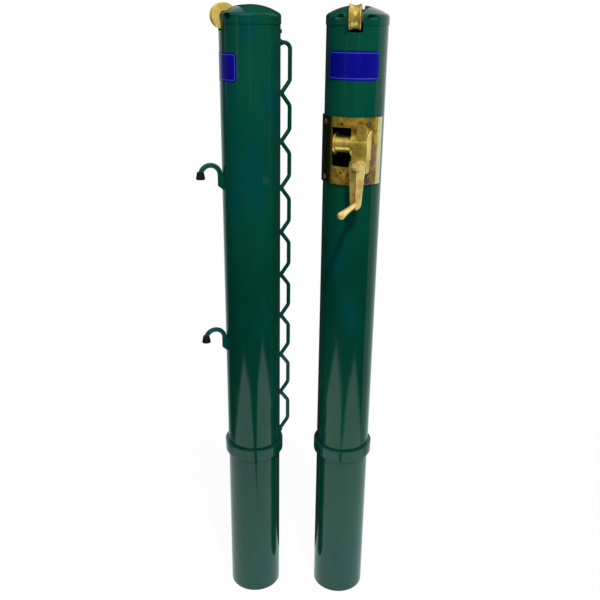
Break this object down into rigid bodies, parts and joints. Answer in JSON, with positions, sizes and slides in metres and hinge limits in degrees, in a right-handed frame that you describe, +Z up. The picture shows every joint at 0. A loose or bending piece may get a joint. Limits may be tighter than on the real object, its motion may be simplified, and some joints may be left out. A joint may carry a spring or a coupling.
{
  "type": "tennis net post pair",
  "caption": "Pair of round net posts: one with cable hooks, one with a worm-geared crank winder; domed caps with grooved sheaves, zigzag lacing rods and ground collars.",
  "frame": {"origin": "centre of the anchor post's foot, on the ground", "axes": "+Z up along the posts; +X from the anchor post to the winder post; -Y the side that the crank faces"},
  "size_m": [0.4254, 0.2997, 1.498],
  "materials": {
    "green_paint": "gloss powder coat",
    "brass": "cast and machined, lightly worn",
    "bronze": "machined",
    "plain_steel": "zinc plated",
    "black_rubber": "moulded",
    "blue_label": "printed film"
  },
  "bodies": {
    "posts": {"anchor_cap": "green_paint", "anchor_cap_screws": "plain_steel", "anchor_ground_collar": "green_paint", "anchor_label": "blue_label", "anchor_lacing_rod": "green_paint", "anchor_post_tube": "green_paint", "anchor_sheave_pin": "plain_steel", "anchor_sheave_washers": "plain_steel", "housing_cover": "brass", "lower_cable_hook": "green_paint", "lower_hook_tip": "black_rubber", "plate_screws": "plain_steel", "reel_bushes": "bronze", "upper_cable_hook": "green_paint", "upper_hook_tip": "black_rubber", "winder_cap": "green_paint", "winder_cap_screws": "plain_steel", "winder_casting": "brass", "winder_ground_collar": "green_paint", "winder_label": "blue_label", "winder_lacing_rod": "green_paint", "winder_post_tube": "green_paint", "winder_sheave_pin": "plain_steel", "winder_sheave_washers": "plain_steel", "worm_bush": "bronze"},
    "anchor_pulley": {"anchor_sheave": "brass", "anchor_sheave_bush": "bronze"},
    "winder_pulley": {"winder_sheave": "brass", "winder_sheave_bush": "bronze"},
    "reel": {"reel_drum": "brass", "reel_shaft": "plain_steel", "worm_wheel": "bronze"},
    "crank": {"worm_shaft": "plain_steel", "crank_handle": "brass", "crank_screw": "plain_steel"}
  },
  "joints": [
    {"name": "anchor_sheave_spin", "type": "hinge", "parent": "posts", "child": "anchor_pulley", "pos_m": [-0.05447, -0.01685, 1.4715], "axis": [0.3206, -0.9472, 0], "continuous": true},
    {"name": "winder_sheave_spin", "type": "hinge", "parent": "posts", "child": "winder_pulley", "pos_m": [0.22127, -0.05635, 1.4715], "axis": [0.9919, -0.1271, 0], "continuous": true},
    {"name": "crank_spin", "type": "hinge", "parent": "posts", "child": "crank", "pos_m": [0.23489, -0.0933, 1.174], "axis": [-0.342, -0.9397, 0], "continuous": true},
    {"name": "reel_spin", "type": "hinge", "parent": "posts", "child": "reel", "pos_m": [0.21495, -0.04135, 1.212], "axis": [0.9397, -0.342, 0], "continuous": true}
  ],
  "couplings": [
    {"joint": "reel_spin", "follows": "crank_spin", "ratio": 0.038462}
  ]
}
